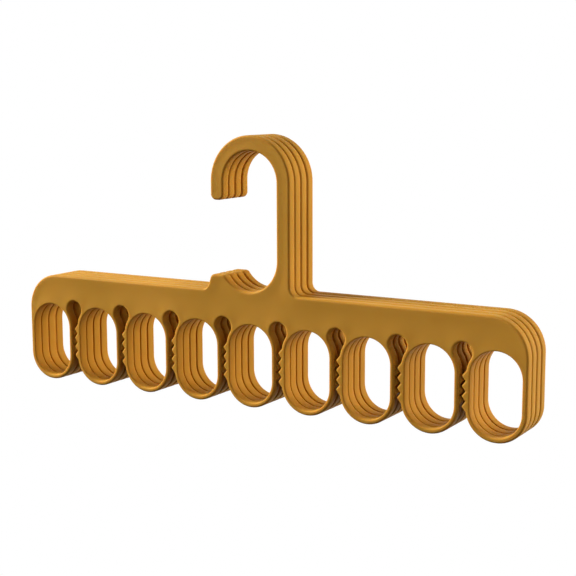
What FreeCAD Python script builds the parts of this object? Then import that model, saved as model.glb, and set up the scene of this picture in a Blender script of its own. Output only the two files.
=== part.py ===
import FreeCAD, Part
import math
import os

import Sketcher

# A set of four equal scarf hangers, stacked face to face on one wardrobe rod. Each hanger is one
# flat moulding: a hook, a stem, a bar, a row of loops below the bar, and between neighbouring
# loops a keyhole slot whose two walls carry interlocking teeth and clip thin cloth.
# Millimetres. The hook's rod centre is the origin, +Z is up, +X runs along the bar and the
# front hanger faces -Y.

SIZES = {
    "thickness": 5.95,          # front face to back face of one hanger
    "front_clearance": 0.2,     # air behind the front hanger in the stack
    "second_clearance": 0.5,    # air behind the second hanger
    "third_clearance": 0.75,    # air behind the third hanger
    "rim_radius": 1.6,          # rounding of every front and back edge but the teeth's
    "loop_count": 9,
    "hole_radius": 12.8,        # rounded ends of a loop's hole
    "hole_straight": 16.0,      # straight side of a loop's hole
    "loop_wall": 3.3,           # strip of plastic around a hole
    "slot_gap": 2.6,            # air between two neighbouring loops, teeth left out
    "eye_radius": 4.6,          # round top of the keyhole slot
    "tooth_pitch": 5.1,
    "jaw_gap": 0.9,             # air between a tooth's flank and the jaw across, along the bar
    "tooth_radius": 0.5,        # rounding of the teeth's tips and valleys
    "tooth_setback": 0.4,       # ends of the teeth behind the front face and the back face
    "bar_depth": 17.4,          # solid bar above the holes
    "bar_corner_radius": 20.0,
    "hook_radius": 16.5,        # inside of the hook, takes rods up to 32
    "hook_width": 8.1,          # breadth of the hook's band and of the stem
    "stem_drop": 58.7,          # rod centre down to the bar's top edge
    "tip_drop": 10.0,           # rod centre down to the end of the hook's tip
    "tip_radius": 3.2,
    "foot_radius": 4.6,         # hollow between the stem and the bar
    "bowl_radius": 17.8,        # round floor of the hook's mouth
    "bowl_floor": 0.3,          # lowest point of the bowl above the bar's top edge
    "lip_height": 8.6,          # lip above the bar's top edge
    "lip_width": 8.5,           # flat top of the lip
    "lip_run": 2.8,             # how far the lip's outer side leans out
    "lip_top_radius": 2.8,
    "lip_inner_radius": 2.8,
    "lip_foot_radius": 4.6,
}

HANGERS = ("front_hanger", "second_hanger", "third_hanger", "back_hanger")
CLEARANCES = ("front_clearance", "second_clearance", "third_clearance")

# Teeth stand at these shares of the tooth pitch above and below the middle of a loop.
RIGHT_TOOTH_SHARES = (-1.5, -0.5, 0.5, 1.5)
LEFT_TOOTH_SHARES = (-1.0, 0.0, 1.0)
HALF_TOOTH_SHARE = 0.5

# Numbers that a sketch gives to the points of a curve, and the sketch's own origin.
START, END, CENTRE = range(1, 4)
ROOT = (-1, START)

doc = FreeCAD.newDocument("scarf_hanger")
sheet = doc.addObject("Spreadsheet::Sheet", "sizes")
for row, (alias, size) in enumerate(SIZES.items(), start=1):
    sheet.set(f"A{row}", alias)
    sheet.set(f"B{row}", str(size))
    sheet.setAlias(f"B{row}", alias)
doc.recompute()


def cell(alias):
    """Expression for a cell of the sheet."""
    return f"sizes.{alias}"


def value(expression):
    """Number that an expression gives with the sheet's present values."""
    return float(sheet.evalExpression(str(expression)))


# Places that follow from the driving sizes, as expressions.
LOOP_RADIUS = f"({cell('hole_radius')} + {cell('loop_wall')})"
PITCH = f"(2 * {LOOP_RADIUS} + {cell('slot_gap')})"
ROW = f"(({cell('loop_count')} - 1) * {PITCH})"
BAR_END = f"({ROW} / 2 + {LOOP_RADIUS})"
BAR_TOP = f"(-{cell('stem_drop')})"
HALF_STRAIGHT = f"({cell('hole_straight')} / 2)"
HOLE_LINE = f"({BAR_TOP} - {cell('bar_depth')} - {cell('hole_radius')} - {HALF_STRAIGHT})"
UPPER_CENTRE = f"({HOLE_LINE} + {HALF_STRAIGHT})"
LOWER_CENTRE = f"({HOLE_LINE} - {HALF_STRAIGHT})"
FIRST_LOOP = f"(-{ROW} / 2)"
FIRST_SLOT = f"({FIRST_LOOP} + {PITCH} / 2)"
HALF_GAP = f"({cell('slot_gap')} / 2)"
HALF_WALL = f"({cell('loop_wall')} / 2)"


class Drawing:
    """A sketch on the XZ plane of a body, whose points are held by expressions."""

    def __init__(self, body, name):
        self.sketch = body.newObject("Sketcher::SketchObject", name)
        plane = next(item for item in body.Origin.OriginFeatures if item.Role == "XZ_Plane")
        self.sketch.AttachmentSupport = [(plane, "")]
        self.sketch.MapMode = "FlatFace"

    def line(self, first, last):
        """Line between two places given as numbers."""
        ends = (FreeCAD.Vector(*first, 0), FreeCAD.Vector(*last, 0))
        return self.sketch.addGeometry(Part.LineSegment(*ends), False)

    def arc(self, centre, radius, first_angle, last_angle):
        """Arc that runs anticlockwise between two angles in radians."""
        circle = Part.Circle(FreeCAD.Vector(*centre, 0), FreeCAD.Vector(0, 0, 1), radius)
        return self.sketch.addGeometry(Part.ArcOfCircle(circle, first_angle, last_angle), False)

    def rule(self, *terms):
        """Constraint without a size."""
        return self.sketch.addConstraint(Sketcher.Constraint(*terms))

    def size(self, expression, *terms):
        """Constraint whose size follows an expression."""
        index = self.rule(*terms, value(expression))
        self.sketch.setExpression(f"Constraints[{index}]", expression)

    def place(self, curve, point, across=None, up=None):
        """Hold a point at a distance from the origin along X, along Z or along both."""
        if across is not None:
            self.size(across, "DistanceX", *ROOT, curve, point)
        if up is not None:
            self.size(up, "DistanceY", *ROOT, curve, point)

    def zigzag(self, corners, radius):
        """Closed run of lines through corners given as pairs of expressions. The first and the
        last corner stay sharp and the others are rounded."""
        spots = [FreeCAD.Vector(value(across), value(up), 0) for across, up in corners]
        turn = value(radius)
        into, out, turns = [spots[0]], [spots[0]], []
        for before, spot, after in zip(spots, spots[1:], spots[2:]):
            back, ahead = (before - spot).normalize(), (after - spot).normalize()
            half = back.getAngle(ahead) / 2
            into.append(spot + back * (turn / math.tan(half)))
            out.append(spot + ahead * (turn / math.tan(half)))
            middle = spot + (back + ahead).normalize() * (turn / math.sin(half))
            left_turn = back.cross(ahead).z < 0
            ends = (into[-1], out[-1]) if left_turn else (out[-1], into[-1])
            first, last = (math.atan2(end.y - middle.y, end.x - middle.x) for end in ends)
            turns.append((self.arc((middle.x, middle.y), turn, first, last), left_turn))
        into.append(spots[-1])
        out.append(spots[-1])
        lines = [self.line((a.x, a.y), (b.x, b.y)) for a, b in zip(out, into[1:])]
        closing = self.line((spots[-1].x, spots[-1].y), (spots[0].x, spots[0].y))
        for (curve, left_turn), before, after in zip(turns, lines, lines[1:]):
            first, last = (START, END) if left_turn else (END, START)
            self.rule("Tangent", before, END, curve, first)
            self.rule("Tangent", curve, last, after, START)
            if curve == turns[0][0]:
                self.size(radius, "Radius", curve)
            else:
                self.rule("Equal", turns[0][0], curve)
        for spot, corner, before, after in zip(spots[1:], corners[1:-1], lines, lines[1:]):
            mark = self.sketch.addGeometry(Part.Point(spot), True)
            self.place(mark, START, *corner)
            self.rule("PointOnObject", mark, START, before)
            self.rule("PointOnObject", mark, START, after)
        self.rule("Coincident", lines[-1], END, closing, START)
        self.rule("Coincident", closing, END, lines[0], START)
        self.place(closing, START, *corners[-1])
        self.place(closing, END, *corners[0])

    def stadium(self, across, radius):
        """Upright slot with round ends, on the line through the holes."""
        x, wide = value(across), value(radius)
        high, low = value(UPPER_CENTRE), value(LOWER_CENTRE)
        top = self.arc((x, high), wide, 0, math.pi)
        left = self.line((x - wide, high), (x - wide, low))
        bottom = self.arc((x, low), wide, math.pi, 2 * math.pi)
        right = self.line((x + wide, low), (x + wide, high))
        ring = (top, left, bottom, right)
        for k, curve in enumerate(ring):
            self.rule("Tangent", curve, END, ring[(k + 1) % len(ring)], START)
        self.rule("Vertical", left)
        self.rule("Vertical", right)
        self.size(radius, "Radius", top)
        self.place(top, CENTRE, across, UPPER_CENTRE)
        self.place(bottom, CENTRE, None, LOWER_CENTRE)


def pad(body, drawing, name, length):
    """Pad to a length, half to each side of the sketch."""
    feature = body.newObject("PartDesign::Pad", name)
    feature.Profile = drawing.sketch
    feature.SideType = "Symmetric"
    feature.setExpression("Length", length)
    doc.recompute()
    return feature


def pocket(body, drawing, name):
    """Cut through the whole hanger, to both sides of the sketch."""
    feature = body.newObject("PartDesign::Pocket", name)
    feature.Profile = drawing.sketch
    feature.Type = "ThroughAll"
    feature.SideType = "Symmetric"
    doc.recompute()
    return feature


def repeat(body, feature, name, count):
    """Repeat a feature along the bar at the pitch of the loops."""
    pattern = body.newObject("PartDesign::LinearPattern", name)
    pattern.Originals = [feature]
    pattern.Direction = (feature.Profile[0], ["H_Axis"])
    pattern.setExpression("Length", f"({count} - 1) * {PITCH}")
    pattern.setExpression("Occurrences", count)
    body.Tip = pattern
    doc.recompute()
    return pattern


def round_edges(body, name, wanted, radius):
    """Fillet of the body's edges that a test picks."""
    base = body.Tip
    edges = base.Shape.Edges
    names = [f"Edge{k}" for k, edge in enumerate(edges, start=1) if wanted(edge)]
    feature = body.newObject("PartDesign::Fillet", name)
    feature.Base = (base, names)
    feature.setExpression("Radius", radius)
    body.Tip = feature
    doc.recompute()
    return feature


def draw_bar(body):
    """Bar with round top corners, down to the upper centres of the loops."""
    drawing = Drawing(body, "bar_outline")
    end, top, low = value(BAR_END), value(BAR_TOP), value(UPPER_CENTRE)
    turn = value(cell("bar_corner_radius"))
    bottom = drawing.line((-end, low), (end, low))
    right = drawing.line((end, low), (end, top - turn))
    right_turn = drawing.arc((end - turn, top - turn), turn, 0, math.pi / 2)
    edge = drawing.line((end - turn, top), (turn - end, top))
    left_turn = drawing.arc((turn - end, top - turn), turn, math.pi / 2, math.pi)
    left = drawing.line((-end, top - turn), (-end, low))
    for first, last in ((right, right_turn), (right_turn, edge), (edge, left_turn), (left_turn, left)):
        drawing.rule("Tangent", first, END, last, START)
    drawing.rule("Coincident", bottom, END, right, START)
    drawing.rule("Coincident", left, END, bottom, START)
    drawing.rule("Horizontal", bottom)
    drawing.rule("Horizontal", edge)
    drawing.rule("Vertical", left)
    drawing.rule("Vertical", right)
    drawing.rule("Equal", left_turn, right_turn)
    drawing.size(cell("bar_corner_radius"), "Radius", right_turn)
    drawing.place(bottom, START, f"-{BAR_END}", UPPER_CENTRE)
    drawing.place(bottom, END, BAR_END)
    drawing.place(edge, START, None, BAR_TOP)
    return drawing


# The hook's outline: hook, stem, bowl and lip in one run, with a root inside the bar.
HOOK_OUTSIDE = f"({cell('hook_radius')} + {cell('hook_width')})"
TIP_END = f"(-{cell('tip_drop')})"
ROOT_DEPTH = f"({cell('bar_depth')} / 2)"
ROOT_LEVEL = f"({BAR_TOP} - {ROOT_DEPTH})"
LIP_TOP = f"({BAR_TOP} + {cell('lip_height')})"
BOWL_CENTRE = f"({cell('hook_radius')} - {cell('bowl_radius')})"
BOWL_LEVEL = f"({BAR_TOP} + {cell('bowl_floor')} + {cell('bowl_radius')})"
BOWL_REACH = f"sqrt(pow({cell('bowl_radius')}; 2) - pow({BOWL_LEVEL} - {LIP_TOP}; 2))"
LIP_INNER = f"({BOWL_CENTRE} - {BOWL_REACH})"
LIP_OUTER = f"({LIP_INNER} - {cell('lip_width')})"
LIP_FOOT = f"({LIP_OUTER} - {cell('lip_run')})"
LIP_ROOT = f"({LIP_FOOT} - {cell('lip_run')} * {ROOT_DEPTH} / {cell('lip_height')})"


def draw_hook(body):
    """Open hook on its stem, with the bowl and the lip that close the mouth from below."""
    drawing = Drawing(body, "hook_outline")
    inside, outside = value(cell("hook_radius")), value(HOOK_OUTSIDE)
    tip, root, lip_top = value(TIP_END), value(ROOT_LEVEL), value(LIP_TOP)
    bowl_x, bowl_z, bowl = value(BOWL_CENTRE), value(BOWL_LEVEL), value(cell("bowl_radius"))
    lip_inner, lip_outer, lip_root = value(LIP_INNER), value(LIP_OUTER), value(LIP_ROOT)
    lip_angle = math.atan2(lip_top - bowl_z, lip_inner - bowl_x) + 2 * math.pi

    inner = drawing.arc((0, 0), inside, 0, math.pi)
    outer = drawing.arc((0, 0), outside, 0, math.pi)
    tip_inside = drawing.line((-inside, 0), (-inside, tip))
    tip_end = drawing.line((-inside, tip), (-outside, tip))
    tip_outside = drawing.line((-outside, tip), (-outside, 0))
    stem_outside = drawing.line((outside, 0), (outside, root))
    foot = drawing.line((outside, root), (lip_root, root))
    lip_side = drawing.line((lip_root, root), (lip_outer, lip_top))
    lip = drawing.line((lip_outer, lip_top), (lip_inner, lip_top))
    floor = drawing.arc((bowl_x, bowl_z), bowl, lip_angle, 2 * math.pi)
    stem_inside = drawing.line((inside, bowl_z), (inside, 0))

    drawing.rule("Tangent", inner, END, tip_inside, START)
    drawing.rule("Tangent", tip_outside, END, outer, END)
    drawing.rule("Tangent", outer, START, stem_outside, START)
    drawing.rule("Tangent", floor, END, stem_inside, START)
    drawing.rule("Tangent", stem_inside, END, inner, START)
    corners = ((tip_inside, tip_end), (tip_end, tip_outside), (stem_outside, foot), (foot, lip_side),
               (lip_side, lip), (lip, floor))
    for first, last in corners:
        drawing.rule("Coincident", first, END, last, START)
    for upright in (tip_inside, tip_outside, stem_outside, stem_inside):
        drawing.rule("Vertical", upright)
    for level in (tip_end, foot, lip):
        drawing.rule("Horizontal", level)
    drawing.rule("Coincident", inner, CENTRE, *ROOT)
    drawing.rule("Coincident", outer, CENTRE, *ROOT)
    drawing.size(cell("hook_radius"), "Radius", inner)
    drawing.size(HOOK_OUTSIDE, "Radius", outer)
    drawing.size(cell("bowl_radius"), "Radius", floor)
    drawing.place(tip_end, START, None, TIP_END)
    drawing.place(foot, START, None, ROOT_LEVEL)
    drawing.place(foot, END, LIP_ROOT)
    drawing.place(lip, START, LIP_OUTER, LIP_TOP)
    drawing.place(floor, CENTRE, None, BOWL_LEVEL)
    return drawing


# The keyhole: its round eye touches the outer arcs of both loops, so the plastic strip around
# every hole keeps one width.
HALF_PITCH = f"({PITCH} / 2)"
EYE_RISE = f"sqrt(pow({LOOP_RADIUS} + {cell('eye_radius')}; 2) - pow({HALF_PITCH}; 2))"


def draw_eye(body):
    """Eye and neck of the first keyhole slot, open downwards into the gap between two loops."""
    drawing = Drawing(body, "eye_outline")
    x, level, half_pitch = value(FIRST_SLOT), value(UPPER_CENTRE), value(HALF_PITCH)
    rise, loop, gap = value(EYE_RISE), value(LOOP_RADIUS), value(HALF_GAP)
    lean = math.atan2(rise, half_pitch)
    eye = drawing.arc((x, level + rise), value(cell("eye_radius")), -lean, math.pi + lean)
    right = drawing.arc((x + half_pitch, level), loop, math.pi - lean, math.pi)
    left = drawing.arc((x - half_pitch, level), loop, 0, lean)
    right_side = drawing.line((x + gap, level), (x + gap / 2, level - gap))
    bottom = drawing.line((x + gap / 2, level - gap), (x - gap / 2, level - gap))
    left_side = drawing.line((x - gap / 2, level - gap), (x - gap, level))
    drawing.rule("Tangent", eye, START, right, START)
    drawing.rule("Tangent", eye, END, left, END)
    drawing.rule("Coincident", right, END, right_side, START)
    drawing.rule("Coincident", right_side, END, bottom, START)
    drawing.rule("Coincident", bottom, END, left_side, START)
    drawing.rule("Coincident", left_side, END, left, START)
    drawing.size(cell("eye_radius"), "Radius", eye)
    drawing.size(LOOP_RADIUS, "Radius", right)
    drawing.size(LOOP_RADIUS, "Radius", left)
    drawing.place(right, CENTRE, f"{FIRST_SLOT} + {HALF_PITCH}", UPPER_CENTRE)
    drawing.place(left, CENTRE, f"{FIRST_SLOT} - {HALF_PITCH}", UPPER_CENTRE)
    drawing.place(right, END, None, UPPER_CENTRE)
    drawing.place(left, START, None, UPPER_CENTRE)
    drawing.place(bottom, START, f"{FIRST_SLOT} + {HALF_GAP} / 2", f"{UPPER_CENTRE} - {HALF_GAP}")
    drawing.place(bottom, END, f"{FIRST_SLOT} - {HALF_GAP} / 2", f"{UPPER_CENTRE} - {HALF_GAP}")
    return drawing


# The jaws: teeth of one loop point into the valleys of the next loop.
TOOTH_HEIGHT = f"({cell('slot_gap')} - {cell('jaw_gap')})"
END_SHARE = f"{HALF_TOOTH_SHARE} * ({TOOTH_HEIGHT} + {HALF_WALL}) / {TOOTH_HEIGHT}"
TOOTH_LENGTH = f"({cell('thickness')} - 2 * {cell('tooth_setback')})"


def jaw_corners(side, shares):
    """Corners of one jaw's zigzag, rooted half-way into its loop's strip; side is -1 or 1."""
    root = f"{FIRST_SLOT} + ({side}) * ({HALF_GAP} + {HALF_WALL})"
    valley = f"{FIRST_SLOT} + ({side}) * {HALF_GAP}"
    tip = f"{FIRST_SLOT} + ({side}) * ({HALF_GAP} - {TOOTH_HEIGHT})"

    def level(share):
        return f"{HOLE_LINE} + ({share}) * {cell('tooth_pitch')}"

    corners = [(root, level(f"{shares[0]} - {END_SHARE}"))]
    for share in shares:
        corners.append((tip, level(share)))
        corners.append((valley, level(share + HALF_TOOTH_SHARE)))
    corners[-1] = (root, level(f"{shares[-1]} + {END_SHARE}"))
    return corners


def draw_jaws(body):
    """Both toothed jaws of the first keyhole slot."""
    drawing = Drawing(body, "jaw_outline")
    drawing.zigzag(jaw_corners(1, RIGHT_TOOTH_SHARES), cell("tooth_radius"))
    drawing.zigzag(jaw_corners(-1, LEFT_TOOTH_SHARES), cell("tooth_radius"))
    return drawing


def straight_across(edge):
    """True for a straight edge that runs from the front face to the back face."""
    if edge.Curve.TypeId != "Part::GeomLine":
        return False
    return math.isclose(abs(edge.Curve.Direction.y), 1)


def corners_at(*spots):
    """Pick the edges across the thickness at places given as pairs of expressions."""
    places = [FreeCAD.Vector(value(across), 0, value(up)) for across, up in spots]
    near = value(cell("rim_radius"))

    def wanted(edge):
        middle = edge.CenterOfMass
        return straight_across(edge) and any((middle - place).Length < near for place in places)

    return wanted


def rims(edge):
    """Pick every edge of the front face and of the back face."""
    box = edge.BoundBox
    face = value(cell("thickness")) / 2
    return math.isclose(abs(box.YMin), face) and math.isclose(abs(box.YMax), face) and box.YLength < face


def make_hanger(name):
    """One hanger as a body, its middle plane on the XZ plane."""
    body = doc.addObject("PartDesign::Body", name)
    thickness = cell("thickness")
    pad(body, draw_bar(body), "bar", thickness)
    pad(body, draw_hook(body), "hook", thickness)
    tip_corners = corners_at((f"-{cell('hook_radius')}", TIP_END), (f"-{HOOK_OUTSIDE}", TIP_END))
    round_edges(body, "tip_rounding", tip_corners, cell("tip_radius"))
    round_edges(body, "foot_hollow", corners_at((HOOK_OUTSIDE, BAR_TOP)), cell("foot_radius"))
    round_edges(body, "lip_foot_hollow", corners_at((LIP_FOOT, BAR_TOP)), cell("lip_foot_radius"))
    round_edges(body, "lip_top_rounding", corners_at((LIP_OUTER, LIP_TOP)), cell("lip_top_radius"))
    round_edges(body, "lip_inner_rounding", corners_at((LIP_INNER, LIP_TOP)), cell("lip_inner_radius"))

    loop = Drawing(body, "loop_outline")
    loop.stadium(FIRST_LOOP, LOOP_RADIUS)
    repeat(body, pad(body, loop, "loop", thickness), "loops", cell("loop_count"))
    hole = Drawing(body, "hole_outline")
    hole.stadium(FIRST_LOOP, cell("hole_radius"))
    repeat(body, pocket(body, hole, "hole"), "holes", cell("loop_count"))

    slot_count = f"({cell('loop_count')} - 1)"
    repeat(body, pocket(body, draw_eye(body), "eye"), "eyes", slot_count)
    round_edges(body, "rim_rounding", rims, cell("rim_radius"))
    repeat(body, pad(body, draw_jaws(body), "jaw", TOOTH_LENGTH), "jaws", slot_count)
    return body


def copy_hanger(name, original):
    """Another hanger from the same mould, as a body that follows the first one."""
    body = doc.addObject("PartDesign::Body", name)
    feature = body.newObject("PartDesign::FeatureBase", f"{name}_moulding")
    feature.BaseFeature = original
    feature.Placement = original.Placement
    body.Tip = feature
    doc.recompute()
    return body


# The stack: the front hanger at -Y, and half of the stack's depth before the origin.
AIR = " + ".join(cell(alias) for alias in CLEARANCES)
HALF_DEPTH = f"({len(HANGERS)} * {cell('thickness')} + {AIR}) / 2"

hangers = [make_hanger(HANGERS[0])]
hangers += [copy_hanger(name, hangers[0].Tip) for name in HANGERS[1:]]
for k, hanger in enumerate(hangers):
    before = " + ".join([f"{2 * k + 1} * {cell('thickness')} / 2", *map(cell, CLEARANCES[:k])])
    hanger.setExpression("Placement.Base.y", f"{before} - {HALF_DEPTH}")
doc.recompute()

faults = [item.Name for item in doc.Objects if "Invalid" in item.State or "Error" in item.State]
if faults:
    raise RuntimeError(f"not built: {faults}")
os.makedirs("parts", exist_ok=True)
for hanger in hangers:
    shape = hanger.Shape
    if shape.isNull() or not shape.isValid() or len(shape.Solids) != 1:
        raise RuntimeError(f"{hanger.Label} is not one valid solid")
    shape.exportStep(f"parts/{hanger.Label}.step")
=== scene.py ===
# %% [markdown]
# # A stack of scarf hangers
#
# The object is a set of four equal hangers, pressed face to face. Each one is a single flat
# moulding: an open hook on a stem, a bar, nine oblong loops below it and eight keyhole clips with
# toothed jaws between the loops. The solid model gives every hanger its place and its size. This
# lesson gives each of them a cleaner skin, a plastic that lets some light in, and the photograph's
# camera and light.

# %% Load the solid model
import math

import bmesh
import bpy
import numpy as np
from mathutils import Matrix, Vector
from mathutils.geometry import delaunay_2d_cdt


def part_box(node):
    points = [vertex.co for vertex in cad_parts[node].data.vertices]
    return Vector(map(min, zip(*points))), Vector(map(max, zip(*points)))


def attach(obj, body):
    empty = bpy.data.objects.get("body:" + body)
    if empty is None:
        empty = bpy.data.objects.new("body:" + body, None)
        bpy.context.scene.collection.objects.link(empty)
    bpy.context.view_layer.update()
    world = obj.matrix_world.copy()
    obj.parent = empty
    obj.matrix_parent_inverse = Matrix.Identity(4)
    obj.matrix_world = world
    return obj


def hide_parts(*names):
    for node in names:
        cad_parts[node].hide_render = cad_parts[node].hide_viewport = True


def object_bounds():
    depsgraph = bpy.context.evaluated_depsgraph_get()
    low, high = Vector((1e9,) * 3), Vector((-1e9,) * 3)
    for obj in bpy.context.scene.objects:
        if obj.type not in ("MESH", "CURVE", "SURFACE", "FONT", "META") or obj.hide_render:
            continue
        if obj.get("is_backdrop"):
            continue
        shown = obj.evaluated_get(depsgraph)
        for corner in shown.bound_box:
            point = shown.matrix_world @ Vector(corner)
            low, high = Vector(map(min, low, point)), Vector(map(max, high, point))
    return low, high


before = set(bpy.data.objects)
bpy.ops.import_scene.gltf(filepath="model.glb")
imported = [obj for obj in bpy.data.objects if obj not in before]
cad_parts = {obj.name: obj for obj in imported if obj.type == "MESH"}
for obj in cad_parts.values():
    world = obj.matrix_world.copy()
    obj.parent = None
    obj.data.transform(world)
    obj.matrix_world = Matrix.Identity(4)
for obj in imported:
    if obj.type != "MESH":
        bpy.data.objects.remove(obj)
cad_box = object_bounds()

HANGERS = ("front_hanger", "second_hanger", "third_hanger", "back_hanger")

# %% [markdown]
# ## Sizes
#
# Blender works in metres, and a maker thinks in millimetres, so each size is written as millimetres
# times `MM`. These are the driving sizes of the moulding. What follows from them, such as the pitch of
# the loops, is worked out below, and the box of the solid shows that both agree. The loops' walls are
# up to half a millimetre thinner on each side than the solid's, as the photograph shows them.

# %% Sizes of the moulding
MM = 0.001
LOOP_COUNT = 9
HOLE_RADIUS = 13.3 * MM
HALF_STRAIGHT = 8.15 * MM
LOOP_WALL = 2.3 * MM
END_WALL = 2.8 * MM
SLOT_GAP = 3.6 * MM
EYE_RADIUS = 5.0 * MM
TOOTH_PITCH = 5.1 * MM
JAW_GAP = 1.6 * MM
TOOTH_RADIUS = 0.5 * MM
HOLE_RIM = 0.6 * MM
HOLE_BACK_RIM = 0.85 * MM
EDGE_RIM = 1.1 * MM
EDGE_BACK_RIM = 1.35 * MM
BAR_DEPTH = 17.1 * MM
BAR_CORNER = 20.0 * MM
HOOK_RADIUS = 16.5 * MM
HOOK_WIDTH = 8.1 * MM
STEM_DROP = 58.7 * MM
TIP_DROP = 10.0 * MM
TIP_RADIUS = 3.2 * MM
FOOT_RADIUS = 4.6 * MM
BOWL_RADIUS = 17.8 * MM
BOWL_FLOOR = 0.3 * MM
LIP_HEIGHT = 8.6 * MM
LIP_WIDTH = 8.5 * MM
LIP_RUN = 2.8 * MM
LIP_TOP_RADIUS = 2.8 * MM
LIP_INNER_RADIUS = 2.8 * MM
LIP_FOOT_RADIUS = 4.6 * MM

loop_radius = HOLE_RADIUS + LOOP_WALL
pitch = 2 * loop_radius + SLOT_GAP
last_loop = (LOOP_COUNT - 1) / 2 * pitch
bar_end = last_loop + HOLE_RADIUS + END_WALL
bar_top = -STEM_DROP
upper = bar_top - BAR_DEPTH - HOLE_RADIUS
lower = upper - 2 * HALF_STRAIGHT
low_corner, high_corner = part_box(HANGERS[0])
thickness = high_corner[1] - low_corner[1]
print(f"length {2 * bar_end / MM:.1f} mm here, {(high_corner[0] - low_corner[0]) / MM:.1f} mm in the solid")

# %% [markdown]
# ## Drawing the outline
#
# The moulding is a flat outline with rounded edges, so the outline comes first, as it would on a
# drawing board. Curves could be drawn with Bezier handles, but a moulding's outline is only lines and
# arcs. Two helpers give their points, and a third joins two stretches and rounds the corner between them.

# %% Lines, arcs and rounded corners
LONGEST_STEP = 1.6 * MM
LARGEST_TURN = math.radians(7)


def line(first, last):
    """Points along a straight stretch, both ends included."""
    first, last = Vector(first), Vector(last)
    steps = max(1, math.ceil((last - first).length / LONGEST_STEP))
    return [first.lerp(last, k / steps) for k in range(steps + 1)]


def arc(centre, radius, first, last):
    """Points along an arc between two angles in degrees, both ends included."""
    first, sweep = math.radians(first), math.radians(last - first)
    steps = max(2, math.ceil(abs(sweep) / LARGEST_TURN), math.ceil(abs(sweep) * radius / LONGEST_STEP))
    angles = [first + sweep * k / steps for k in range(steps + 1)]
    return [Vector(centre) + radius * Vector((math.cos(a), math.sin(a))) for a in angles]


def trim(points, length):
    """A run of points without the given length at its end."""
    points = list(points)
    while (points[-1] - points[-2]).length <= length:
        length -= (points[-1] - points[-2]).length
        points.pop()
    points[-1] = points[-1].lerp(points[-2], length / (points[-1] - points[-2]).length)
    return points


def join(run, stretch, radius=0):
    """One run from two that meet, with the corner between them rounded."""
    if not radius:
        return run + stretch[1:]
    ahead, away = (run[-1] - run[-2]).normalized(), (stretch[1] - stretch[0]).normalized()
    turn = math.atan2(ahead.cross(away), ahead.dot(away))
    cut = radius * math.tan(abs(turn) / 2)
    run, stretch = trim(run, cut), trim(stretch[::-1], cut)[::-1]
    inward = Vector((-ahead.y, ahead.x)) * math.copysign(radius, turn)
    start = math.degrees(math.atan2(-inward.y, -inward.x))
    return run + arc(run[-1] + inward, radius, start, start + math.degrees(turn))[1:-1] + stretch


def zigzag(corners, radius):
    """A run of straight stretches through corners that are all rounded."""
    corners = [Vector(corner) for corner in corners]
    run = corners[:2]
    for first, last in zip(corners[1:], corners[2:]):
        run = join(run, [first, last], radius)
    return run


# %% [markdown]
# ## One clip, from loop to loop
#
# The clip between two loops repeats, so it is drawn once: up the right side of one loop, round the eye,
# and down the left side of the next. The eye just touches the round tops of both loops, which keeps
# the strip around each hole equally wide. The two jaws are drawn apart, as closed zigzags that are
# rooted in the strips: three teeth on the left jaw stand in the valleys of four on the right one.

# %% The clip's outline and its two jaws
half_gap = SLOT_GAP / 2
half_wall = LOOP_WALL / 2
tooth_height = SLOT_GAP - JAW_GAP
middle = (upper + lower) / 2
left_loop, right_loop = -pitch / 2, pitch / 2
eye_rise = math.sqrt((loop_radius + EYE_RADIUS) ** 2 - right_loop ** 2)
lean = math.degrees(math.atan2(eye_rise, right_loop))

clip_run = arc((left_loop, lower), loop_radius, -90, 0)
clip_run = join(clip_run, line((-half_gap, lower), (-half_gap, upper)))
clip_run = join(clip_run, arc((left_loop, upper), loop_radius, 0, lean))
clip_run = join(clip_run, arc((0, upper + eye_rise), EYE_RADIUS, 180 + lean, -lean))
clip_run = join(clip_run, arc((right_loop, upper), loop_radius, 180 - lean, 180))
clip_run = join(clip_run, line((half_gap, upper), (half_gap, lower)))
clip_run = join(clip_run, arc((right_loop, lower), loop_radius, 180, 270))


def jaw(side, teeth, inset):
    """The closed outline of one jaw's teeth, drawn in by an inset; side is -1 for the left jaw and 1
    for the right one."""
    flank = math.hypot(tooth_height, TOOTH_PITCH / 2)
    back = inset * flank / (TOOTH_PITCH / 2)
    root = half_gap + half_wall
    root_rise = ((teeth - 1) + (tooth_height + half_wall - back) / tooth_height) / 2 * TOOTH_PITCH
    corners = [(side * root, middle - root_rise)]
    for k in range(1, 2 * teeth):
        depth = tooth_height if k % 2 else 0
        corners.append((side * (half_gap - depth + back), middle + (k - teeth) / 2 * TOOTH_PITCH))
    corners.append((side * root, middle + root_rise))
    run = zigzag(corners, TOOTH_RADIUS)
    return run if side < 0 else run[::-1]


JAW_TEETH = {-1: 3, 1: 4}
print("points on one clip:", len(clip_run), "teeth on its jaws:", *JAW_TEETH.values())

# %% [markdown]
# ## The bar and the hook
#
# The rest of the outline runs once, from the bottom of the last loop round the bar's right end, up the
# stem, over the hook and back, through the bowl, over the lip and round the left end to the first loop.

# %% The run of the bar and the hook
hook_outside = HOOK_RADIUS + HOOK_WIDTH
bowl_x, bowl_z = HOOK_RADIUS - BOWL_RADIUS, bar_top + BOWL_FLOOR + BOWL_RADIUS
lip_top = bar_top + LIP_HEIGHT
lip_inner = bowl_x - math.sqrt(BOWL_RADIUS ** 2 - (bowl_z - lip_top) ** 2)
lip_outer = lip_inner - LIP_WIDTH
lip_foot = lip_outer - LIP_RUN
lip_angle = math.degrees(math.atan2(lip_top - bowl_z, lip_inner - bowl_x))
end_loop = bar_end - loop_radius

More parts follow.
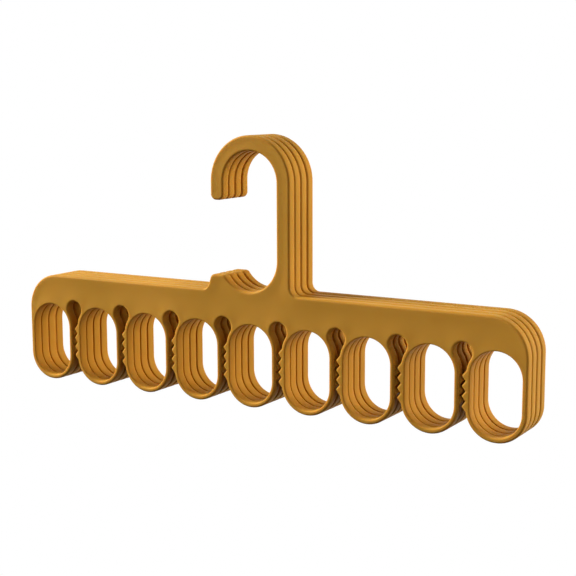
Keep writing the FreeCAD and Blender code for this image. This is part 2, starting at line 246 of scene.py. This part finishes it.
bar_run = line((last_loop, lower - loop_radius), (end_loop, lower - loop_radius))
bar_run = join(bar_run, arc((end_loop, lower), loop_radius, -90, 0))
bar_run = join(bar_run, line((bar_end, lower), (bar_end, bar_top)))
bar_run = join(bar_run, line((bar_end, bar_top), (hook_outside, bar_top)), BAR_CORNER)
bar_run = join(bar_run, line((hook_outside, bar_top), (hook_outside, 0)), FOOT_RADIUS)
bar_run = join(bar_run, arc((0, 0), hook_outside, 0, 180))
bar_run = join(bar_run, line((-hook_outside, 0), (-hook_outside, -TIP_DROP)))
bar_run = join(bar_run, line((-hook_outside, -TIP_DROP), (-HOOK_RADIUS, -TIP_DROP)), TIP_RADIUS)
bar_run = join(bar_run, line((-HOOK_RADIUS, -TIP_DROP), (-HOOK_RADIUS, 0)), TIP_RADIUS)
bar_run = join(bar_run, arc((0, 0), HOOK_RADIUS, 180, 0))
bar_run = join(bar_run, line((HOOK_RADIUS, 0), (HOOK_RADIUS, bowl_z)))
bar_run = join(bar_run, arc((bowl_x, bowl_z), BOWL_RADIUS, 0, lip_angle))
bar_run = join(bar_run, line((lip_inner, lip_top), (lip_outer, lip_top)), LIP_INNER_RADIUS)
bar_run = join(bar_run, line((lip_outer, lip_top), (lip_foot, bar_top)), LIP_TOP_RADIUS)
bar_run = join(bar_run, line((lip_foot, bar_top), (-bar_end, bar_top)), LIP_FOOT_RADIUS)
bar_run = join(bar_run, line((-bar_end, bar_top), (-bar_end, lower)), BAR_CORNER)
bar_run = join(bar_run, arc((-end_loop, lower), loop_radius, 180, 270))
bar_run = join(bar_run, line((-end_loop, lower - loop_radius), (-last_loop, lower - loop_radius)))

hole_ring = join(arc((0, upper), HOLE_RADIUS, 180, 0), line((HOLE_RADIUS, upper), (HOLE_RADIUS, lower)))
hole_ring = join(hole_ring, arc((0, lower), HOLE_RADIUS, 0, -180))
hole_ring = join(hole_ring, line((-HOLE_RADIUS, lower), (-HOLE_RADIUS, upper)))[:-1]
print("points on the bar and hook:", len(bar_run), "and on a hole:", len(hole_ring))

# %% [markdown]
# ## The plastic
#
# Hangers like these are injection moulded from coloured polypropylene. The plastic is never quite
# opaque: light goes a few millimetres in and comes out warmer, so thin strips glow and thick bars look
# duller. Subsurface scattering gives that. A plain diffuse colour would look like paint. Where the melt
# flowed in, the tint drifts a little, and the mould's blasted steel leaves a very fine grain, which also
# takes most of the shine away.

# %% A helper that adds a node


def add(tree, kind, inputs=None, **settings):
    """A new node with its settings; each input is a plain value, a socket or a list of sockets."""
    node = tree.nodes.new(kind)
    for name, setting in settings.items():
        setattr(node, name, setting)
    for name, given in (inputs or {}).items():
        for one in given if isinstance(given, list) else [given]:
            if isinstance(one, bpy.types.NodeSocket):
                tree.links.new(one, node.inputs[name])
            else:
                node.inputs[name].default_value = one
    return node


# %% Colours and the moulded polypropylene
FLOW_SIZE = 55 * MM
FLOW_TINTS = {0.35: "#b98530", 0.65: "#ae7d2a"}
GRAIN_SIZE = 0.7 * MM
GRAIN_DEPTH = 0.012 * MM
SCATTER_DEPTH = 3.0 * MM


def colour(text):
    """A colour such as #aabbcc in the linear RGBA that shaders expect, by the sRGB rule."""
    parts = [int(text[k:k + 2], 16) / 255 for k in (1, 3, 5)]
    return [part / 12.92 if part <= 0.04045 else ((part + 0.055) / 1.055) ** 2.4 for part in parts] + [1]


# Caramel polypropylene: nearly matt, slightly translucent, tinted through and through.
plastic = bpy.data.materials.new("caramel moulded polypropylene")
plastic.use_nodes = True
shader_tree = plastic.node_tree
shader_tree.nodes.clear()
place = add(shader_tree, "ShaderNodeTexCoord").outputs["Object"]
flow = add(shader_tree, "ShaderNodeTexNoise", {"Vector": place, "Scale": 1 / FLOW_SIZE, "Detail": 1})
tint = add(shader_tree, "ShaderNodeValToRGB", {"Fac": flow.outputs["Fac"]})
for stop, (position, shade) in zip(tint.color_ramp.elements, FLOW_TINTS.items()):
    stop.position = position
    stop.color = colour(shade)
grain = add(shader_tree, "ShaderNodeTexNoise", {"Vector": place, "Scale": 1 / GRAIN_SIZE, "Detail": 2})
bump = add(shader_tree, "ShaderNodeBump", {"Height": grain.outputs["Fac"], "Distance": GRAIN_DEPTH})
surface = add(shader_tree, "ShaderNodeBsdfPrincipled", {
    "Base Color": tint.outputs["Color"], "Roughness": 0.55, "IOR": 1.49, "Specular IOR Level": 0.05,
    "Subsurface Weight": 0.4, "Subsurface Radius": (1.0, 0.5, 0.12),
    "Subsurface Scale": SCATTER_DEPTH, "Normal": bump.outputs["Normal"]})
add(shader_tree, "ShaderNodeOutputMaterial", {"Surface": surface.outputs["BSDF"]})
print("material:", plastic.name)

# %% [markdown]
# The runs meet at the very bottom of the loops. There, each run gets one very short level edge, so that
# the sections at both sides of a joint stand square to it and fit without a step.

# %% The outlines as curves for the node tree
LEVEL_EDGE = Vector((0.05, 0)) * MM
for run in (clip_run, bar_run):
    run.insert(1, run[0] + LEVEL_EDGE)
    run.insert(-1, run[-1] - LEVEL_EDGE)


def curve_object(name, points, closed):
    """A curve object in the flat that passes through the points."""
    curve = bpy.data.curves.new(name, "CURVE")
    curve.dimensions = "3D"
    spline = curve.splines.new("POLY")
    spline.points.add(len(points) - 1)
    for target, spot in zip(spline.points, points):
        target.co = (spot.x, spot.y, 0, 1)
    spline.use_cyclic_u = closed
    return bpy.data.objects.new(name, curve)


outlines = {
    "Clip": curve_object("clip_outline", clip_run, False),
    "Hole": curve_object("hole_outline", hole_ring, True),
    "Bar": curve_object("bar_outline", bar_run, False),
}
print("outlines:", ", ".join(outlines))

# %% [markdown]
# ## From outline to rim
#
# A mould maker cuts the same clip eight times, and a node tree can do the same: it repeats the clip and
# the hole along the bar, adds the bar's own run, and sweeps the section of the rim along all of them.
# The photograph shows crisp holes, a softer outer edge and clear grooves between the hangers. So the
# holes and the edge each have a rim radius of their own in front, and a larger one at the back.
# The trees have named inputs, so the loop count or the rim can be changed later in the modifier panel.
# Copying loops by hand would hide that rule.

# %% Helpers for the node trees


def new_tree(name, **inputs):
    """A geometry tree with named inputs of the given kinds, and the sockets that hand them in."""
    tree = bpy.data.node_groups.new(name, "GeometryNodeTree")
    for label, kind in inputs.items():
        tree.interface.new_socket(label.replace("_", " "), in_out="INPUT", socket_type=f"NodeSocket{kind}")
    tree.interface.new_socket("Moulding", in_out="OUTPUT", socket_type="NodeSocketGeometry")
    return tree, add(tree, "NodeGroupInput").outputs


def times_plus(tree, first, factor, last):
    """The socket of first * factor + last."""
    return add(tree, "ShaderNodeMath", {0: first, 1: factor, 2: last}, operation="MULTIPLY_ADD").outputs[0]


def flat_point(tree, x, y):
    """The socket of a point in the flat."""
    return add(tree, "ShaderNodeCombineXYZ", {"X": x, "Y": y}).outputs[0]


def row(tree, shape, count, step):
    """The socket of a shape that is repeated along the bar, with the row's middle at the middle."""
    start = times_plus(tree, times_plus(tree, count, -0.5, 0.5), step, 0)
    places = add(tree, "GeometryNodeMeshLine", {
        "Count": count, "Start Location": flat_point(tree, start, 0), "Offset": flat_point(tree, step, 0)})
    copies = add(tree, "GeometryNodeInstanceOnPoints", {"Points": places.outputs[0], "Instance": shape})
    return add(tree, "GeometryNodeRealizeInstances", {"Geometry": copies.outputs[0]}).outputs[0]


def finish_tree(tree, shape, material):
    """Hand out the shape as one plain mesh with a material."""
    plain = add(tree, "GeometryNodeRealizeInstances", {"Geometry": shape})
    coloured = add(tree, "GeometryNodeSetMaterial", {"Geometry": plain.outputs[0], "Material": material})
    add(tree, "NodeGroupOutput", {"Moulding": coloured.outputs[0]})


def run_tree(tree, start, settings, helpers):
    """The plain mesh that a tree makes of a starting mesh; the helper objects are used up."""
    blank = bpy.data.objects.new("blank", start)
    for item in (blank, *helpers):
        bpy.context.collection.objects.link(item)
    modifier = blank.modifiers.new(tree.name, "NODES")
    modifier.node_group = tree
    for socket in tree.interface.items_tree:
        if socket.in_out == "INPUT" and socket.name in settings:
            modifier[socket.identifier] = settings[socket.name]
    graph = bpy.context.evaluated_depsgraph_get()
    mesh = bpy.data.meshes.new_from_object(blank.evaluated_get(graph))
    for item in (blank, *helpers):
        bpy.data.objects.remove(item)
    return mesh


print("helpers ready")

# %% The node tree of the rim
WELD = 0.004 * MM
RIM_STEPS = 6
FACE_MARGIN = 0.02 * MM
edge_height = thickness / 2

rim_tree, given = new_tree(
    "moulded rim", Clip="Object", Hole="Object", Bar="Object", Loop_count="Int", Loop_pitch="Float",
    Half_thickness="Float", Hole_rim="Float", Hole_back_rim="Float", Edge_rim="Float",
    Edge_back_rim="Float", Rim_steps="Int", Face_margin="Float", Plastic="Material")
clip, hole, bar = (
    add(rim_tree, "GeometryNodeObjectInfo", {"Object": given[name]}).outputs["Geometry"]
    for name in outlines)
count, step = given["Loop count"], given["Loop pitch"]
clips = row(rim_tree, clip, times_plus(rim_tree, count, 1, -1), step)
edge = add(rim_tree, "GeometryNodeJoinGeometry", {"Geometry": [clips, bar]}).outputs[0]
holes = row(rim_tree, hole, count, step)

top, bottom = given["Half thickness"], times_plus(rim_tree, given["Half thickness"], -1, 0)
# The lower half of the section comes out at the front of the hanger.
corner_place = add(rim_tree, "GeometryNodeInputPosition").outputs[0]
corner_height = add(rim_tree, "ShaderNodeSeparateXYZ", {"Vector": corner_place}).outputs["Y"]
is_front = add(rim_tree, "ShaderNodeMath", {0: corner_height, 1: 0}, operation="LESS_THAN").outputs[0]
swept = []
for runs, front_rim, back_rim in (
        (edge, given["Edge rim"], given["Edge back rim"]),
        (holes, given["Hole rim"], given["Hole back rim"])):
    level_runs = add(rim_tree, "GeometryNodeSetCurveNormal", {"Curve": runs}, mode="Z_UP")
    inside = times_plus(rim_tree, times_plus(rim_tree, back_rim, 1, given["Face margin"]), -1, 0)
    corners = add(rim_tree, "GeometryNodeCurvePrimitiveQuadrilateral", {
        f"Point {k}": flat_point(rim_tree, x, y)
        for k, (x, y) in enumerate(((inside, bottom), (0, bottom), (0, top), (inside, top)), start=1)
    }, mode="POINTS")
    section = add(rim_tree, "GeometryNodeSetSplineCyclic", {
        "Geometry": corners.outputs[0], "Cyclic": False})
    rim_change = times_plus(rim_tree, back_rim, -1, front_rim)
    rounded = add(rim_tree, "GeometryNodeFilletCurve", {
        "Curve": section.outputs[0], "Count": given["Rim steps"],
        "Radius": times_plus(rim_tree, is_front, rim_change, back_rim)}, mode="POLY")
    swept.append(add(rim_tree, "GeometryNodeCurveToMesh", {
        "Curve": level_runs.outputs[0], "Profile Curve": rounded.outputs[0]}).outputs[0])
both = add(rim_tree, "GeometryNodeJoinGeometry", {"Geometry": swept})
welded = add(rim_tree, "GeometryNodeMergeByDistance", {"Geometry": both.outputs[0], "Distance": WELD})
finish_tree(rim_tree, welded.outputs[0], given["Plastic"])

rim = run_tree(rim_tree, bpy.data.meshes.new("blank"), {
    **outlines, "Loop count": LOOP_COUNT, "Loop pitch": pitch, "Half thickness": edge_height,
    "Hole rim": HOLE_RIM, "Hole back rim": HOLE_BACK_RIM, "Edge rim": EDGE_RIM,
    "Edge back rim": EDGE_BACK_RIM, "Rim steps": RIM_STEPS, "Face margin": FACE_MARGIN,
    "Plastic": plastic,
}, outlines.values())
print("nodes in the tree:", len(rim_tree.nodes), "faces on the rim:", len(rim.polygons))

# %% [markdown]
# ## The flat faces
#
# The front and the back are flat with holes, but not dead flat: a thick bar cools last in its middle and
# sinks there a little, and the edges are left standing. So the faces get a lattice of points besides the
# edges, each sunk by its distance from the nearest edge, and a Delaunay triangulation fills in between.
# One large polygon could not carry the sink.

# %% Filling the front and the back
FACE_STEP = 2.2 * MM
ROW_STEP = FACE_STEP * math.sqrt(3) / 2
SINK_DEPTH = 0.35 * MM
SINK_WIDTH = 7.0 * MM
ALL_TRIANGLES = 0
SAME_SPOT = WELD / 10


def edge_distance(point, starts, ends):
    """The distance from a point to the nearest of the edges."""
    along = ends - starts
    share = ((point - starts) * along).sum(1) / (along ** 2).sum(1)
    nearest = starts + np.clip(share, 0, 1)[:, None] * along
    return np.linalg.norm(point - nearest, axis=1).min()


def is_inside(point, starts, ends):
    """Whether a line from the point to the right crosses an odd number of edges."""
    level = (starts[:, 1] > point[1]) != (ends[:, 1] > point[1])
    first, last = starts[level], ends[level]
    share = (point[1] - first[:, 1]) / (last[:, 1] - first[:, 1])
    return np.count_nonzero(first[:, 0] + share * (last[:, 0] - first[:, 0]) > point[0]) % 2 == 1


skin = bmesh.new()
skin.from_mesh(rim)
for side in (-1, 1):
    border = [edge for edge in skin.edges if edge.is_boundary and edge.verts[0].co.z * side > 0]
    corners = list({corner for edge in border for corner in edge.verts})
    number = {corner: k for k, corner in enumerate(corners)}
    pairs = [tuple(number[corner] for corner in edge.verts) for edge in border]
    flat = np.array([corner.co.xy for corner in corners])
    starts, ends = flat[[pair[0] for pair in pairs]], flat[[pair[1] for pair in pairs]]
    low, high = flat.min(0), flat.max(0)
    for row_number, y in enumerate(np.arange(low[1], high[1], ROW_STEP)):
        for x in np.arange(low[0] + row_number % 2 * FACE_STEP / 2, high[0], FACE_STEP):
            distance = edge_distance(np.array((x, y)), starts, ends)
            if distance > FACE_STEP / 2:
                sink = SINK_DEPTH * (1 - max(0, 1 - distance / SINK_WIDTH) ** 2)
                corners.append(skin.verts.new((x, y, side * (edge_height - sink))))
    spots = [corner.co.xy for corner in corners]
    _, _, triangles, origins, _, _ = delaunay_2d_cdt(spots, pairs, [], ALL_TRIANGLES, SAME_SPOT)
    for triangle in triangles:
        three = [corners[origins[k][0]] for k in triangle]
        if is_inside(sum((corner.co.xy for corner in three), Vector((0, 0))) / 3, starts, ends):
            skin.faces.new(three)
stray = [corner for corner in skin.verts if not corner.link_faces]
bmesh.ops.delete(skin, geom=stray, context="VERTS")
bmesh.ops.recalc_face_normals(skin, faces=skin.faces)
open_edges = sum(not edge.is_manifold for edge in skin.edges)
body = bpy.data.meshes.new("body")
skin.to_mesh(body)
print("faces with the front and back:", len(body.polygons), "open edges:", open_edges)
print(f"volume {skin.calc_volume(signed=True) / MM ** 3:.0f} cubic mm")

# %% [markdown]
# ## The toothed jaws
#
# The teeth are what holds a scarf: thin cloth is pushed up between the jaws and the zigzag bends it. On
# the mould they are one more cut beside each loop. Here each row of teeth is a small block with eased
# edges. A second node tree sets both blocks into every clip and unites them with the moulding, so that
# one closed skin is left. Blocks that only overlap would leave hidden faces inside. The left teeth stand
# back from the faces, so in the photograph they lie in the shadow of the slot.

# %% Blocks of teeth, and the tree that unites them with the moulding
JAW_SETBACK = {-1: 1.3 * MM, 1: FACE_MARGIN}
TOOTH_RIM = 0.9 * MM
SHARP_ANGLE = math.radians(32)


def tooth_block(name, side):
    """A row of teeth as a block with rounded front and back rims, in layers from back to front."""
    half = thickness / 2 - JAW_SETBACK[side]
    quarter = [math.radians(90 * k / RIM_STEPS) for k in range(RIM_STEPS + 1)]
    front = [(TOOTH_RIM * (1 - math.cos(a)), half - TOOTH_RIM * (1 - math.sin(a))) for a in quarter]
    back = [(inset, -height) for inset, height in front[::-1]]
    block = bmesh.new()
    rings = [
        [block.verts.new((spot.x, spot.y, height)) for spot in jaw(side, JAW_TEETH[side], inset)]
        for inset, height in back + front]
    for low_ring, high_ring in zip(rings, rings[1:]):
        for k, corner in enumerate(low_ring):
            block.faces.new((low_ring[k - 1], corner, high_ring[k], high_ring[k - 1]))
    block.faces.new(rings[0])
    block.faces.new(rings[-1])
    bmesh.ops.recalc_face_normals(block, faces=block.faces)
    mesh = bpy.data.meshes.new(name)
    block.to_mesh(mesh)
    return bpy.data.objects.new(name, mesh)


jaws = {"Left jaw": tooth_block("left_jaw", -1), "Right jaw": tooth_block("right_jaw", 1)}
teeth_tree, given = new_tree(
    "toothed clips", Skin="Geometry", Left_jaw="Object", Right_jaw="Object", Loop_count="Int",
    Loop_pitch="Float", Plastic="Material")
blocks = add(teeth_tree, "GeometryNodeJoinGeometry", {"Geometry": [
    add(teeth_tree, "GeometryNodeObjectInfo", {"Object": given[name]}).outputs["Geometry"]
    for name in jaws]})
clip_count = times_plus(teeth_tree, given["Loop count"], 1, -1)
teeth = row(teeth_tree, blocks.outputs[0], clip_count, given["Loop pitch"])
united = add(teeth_tree, "GeometryNodeMeshBoolean", operation="UNION", solver="MANIFOLD")
for part in (given["Skin"], teeth):
    teeth_tree.links.new(part, united.inputs[1])
finish_tree(teeth_tree, united.outputs[0], given["Plastic"])

moulding = run_tree(teeth_tree, body, {
    **jaws, "Loop count": LOOP_COUNT, "Loop pitch": pitch, "Plastic": plastic}, jaws.values())
moulding.transform(Matrix.Rotation(math.pi / 2, 4, "X"))
moulding.shade_smooth()
moulding.set_sharp_from_angle(angle=SHARP_ANGLE)
print("triangles on one moulding:", sum(len(face.vertices) - 2 for face in moulding.polygons))

# %% [markdown]
# ## Four in a stack
#
# All four come from one mould, so all four get a copy of the same skin. Each copy moves to the place of
# its own solid, rides on that body, and takes its place in the picture.

# %% Placing the four mouldings
for node in HANGERS:
    low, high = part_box(node)
    mesh = moulding.copy()
    mesh.transform(Matrix.Translation((0, (low[1] + high[1]) / 2, 0)))
    piece = bpy.data.objects.new(f"{node}_moulding", mesh)
    bpy.context.collection.objects.link(piece)
    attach(piece, node)
    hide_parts(node)
    print(node, "at depth", round((low[1] + high[1]) / 2 / MM, 2), "mm")

# %% [markdown]
# ## Camera
#
# The camera stands to the right of the stack and a little above it, with a long lens, as in the
# photograph. Its place was worked out from the nine holes, whose spacing shrinks towards the left. The
# lens and the sensor are given in millimetres, because that is how Blender takes them.

# %% The camera of the photograph
AZIMUTH, ELEVATION, ROLL = math.radians(30.96), math.radians(8.80), math.radians(-0.19)
DISTANCE = 649.2 * MM
LENS, SENSOR = 78.0, 36.0
TARGET = Vector((23.75, -12.7, -54.04)) * MM
back = Vector((
    math.sin(AZIMUTH) * math.cos(ELEVATION), -math.cos(AZIMUTH) * math.cos(ELEVATION), math.sin(ELEVATION)))
level = Vector((math.cos(AZIMUTH), math.sin(AZIMUTH), 0))
right = Matrix.Rotation(ROLL, 3, back) @ level
camera_data = bpy.data.cameras.new("camera")
camera_data.lens = LENS
camera_data.sensor_width = SENSOR
camera = bpy.data.objects.new("camera", camera_data)
camera.matrix_world = Matrix.Translation(TARGET + back * DISTANCE) @ Matrix(
    (right, back.cross(right), back)).transposed().to_4x4()
bpy.context.collection.objects.link(camera)
bpy.context.scene.camera = camera
print("camera at", [round(value / MM, 1) for value in camera.location], "mm")

# %% [markdown]
# ## Light
#
# The photograph is a studio shot on pure white, with no hard shadow and the background burnt out. Most
# of the light comes from the upper left. Weaker lamps fill in the front, the back and the right side, and
# a small one stands near the right end. The rear lamp is kept out of reflections, because its sheen would
# make the golden walls of the holes look pale. The world is white to the camera and to reflected or
# refracted rays, and nearly dark to all others, so the background stays white without flooding the
# plastic with light. The floor lies well below, where hung hangers leave it, and throws no light back.

# %% Lights, world and floor
scene = bpy.context.scene
scene.view_settings.view_transform = "Standard"


def softbox(name, place, size, power, shade):
    """A square area light that faces the middle of the stack; place and size in metres, power in watts."""
    lamp = bpy.data.lights.new(name, "AREA")
    lamp.size = size
    lamp.energy = power
    lamp.color = colour(shade)[:3]
    light = bpy.data.objects.new(name, lamp)
    light.location = place
    light.rotation_euler = (TARGET - Vector(place)).to_track_quat("-Z", "Y").to_euler()
    bpy.context.collection.objects.link(light)
    return light


AMBIENT = 0.03
LIGHTS = {
    "key light": ((-1.2, -0.44, 0.57), 0.58, 41, "#ffffff"),
    "fill light": ((-0.4, -1.1, 0.5), 0.8, 3, "#ffffff"),
    "rear light": ((0.55, 0.9, 0.1), 1.0, 20, "#fff4e2"),
    "side light": ((0.85, 0.6, 0.12), 0.9, 5, "#ffffff"),
    "near light": ((0.42, -0.17, 0.04), 0.15, 0.32, "#ffffff"),
}
lights = {name: softbox(name, *settings) for name, settings in LIGHTS.items()}
lights["rear light"].visible_glossy = False

world = bpy.data.worlds.new("white studio")
scene.world = world
world.use_nodes = True
world_tree = world.node_tree
world_tree.nodes.clear()
rays = add(world_tree, "ShaderNodeLightPath").outputs
seen = add(world_tree, "ShaderNodeBackground", {"Color": (1, 1, 1, 1), "Strength": 1})
ambient = add(world_tree, "ShaderNodeBackground", {"Color": (1, 1, 1, 1), "Strength": AMBIENT})
looks = rays["Is Camera Ray"]
for ray in ("Is Glossy Ray", "Is Transmission Ray"):
    looks = add(world_tree, "ShaderNodeMath", {0: looks, 1: rays[ray]}, operation="MAXIMUM").outputs[0]
either = add(world_tree, "ShaderNodeMixShader", {0: looks, 1: ambient.outputs[0], 2: seen.outputs[0]})
add(world_tree, "ShaderNodeOutputWorld", {"Surface": either.outputs[0]})

FLOOR_HALF = 350 * MM
FLOOR_DROP = 1300 * MM
floor_mesh = bpy.data.meshes.new("floor")
floor_mesh.from_pydata(
    [(x * FLOOR_HALF, y * FLOOR_HALF, -FLOOR_DROP) for x, y in ((-1, -1), (1, -1), (1, 1), (-1, 1))],
    [], [(0, 1, 2, 3)])
# Studio paper: matt and off-white.
paper = bpy.data.materials.new("white paper")
paper.use_nodes = True
paper.node_tree.nodes["Principled BSDF"].inputs["Base Color"].default_value = colour("#f4f4f2")
paper.node_tree.nodes["Principled BSDF"].inputs["Roughness"].default_value = 0.9
floor_mesh.materials.append(paper)
floor = bpy.data.objects.new("floor", floor_mesh)
bpy.context.collection.objects.link(floor)
floor.visible_diffuse = False
floor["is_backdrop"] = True
print("lights:", ", ".join(lights))

# %% [markdown]
# ## Measuring
#
# The last cell compares the dressed hangers with the solid model and prints both boxes.

# %% Both boxes, and the end
boxes = {"cad": cad_box, "visual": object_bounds()}
for name, box in boxes.items():
    print(name, [round((high - low) / MM, 2) for low, high in zip(*box)], "mm")
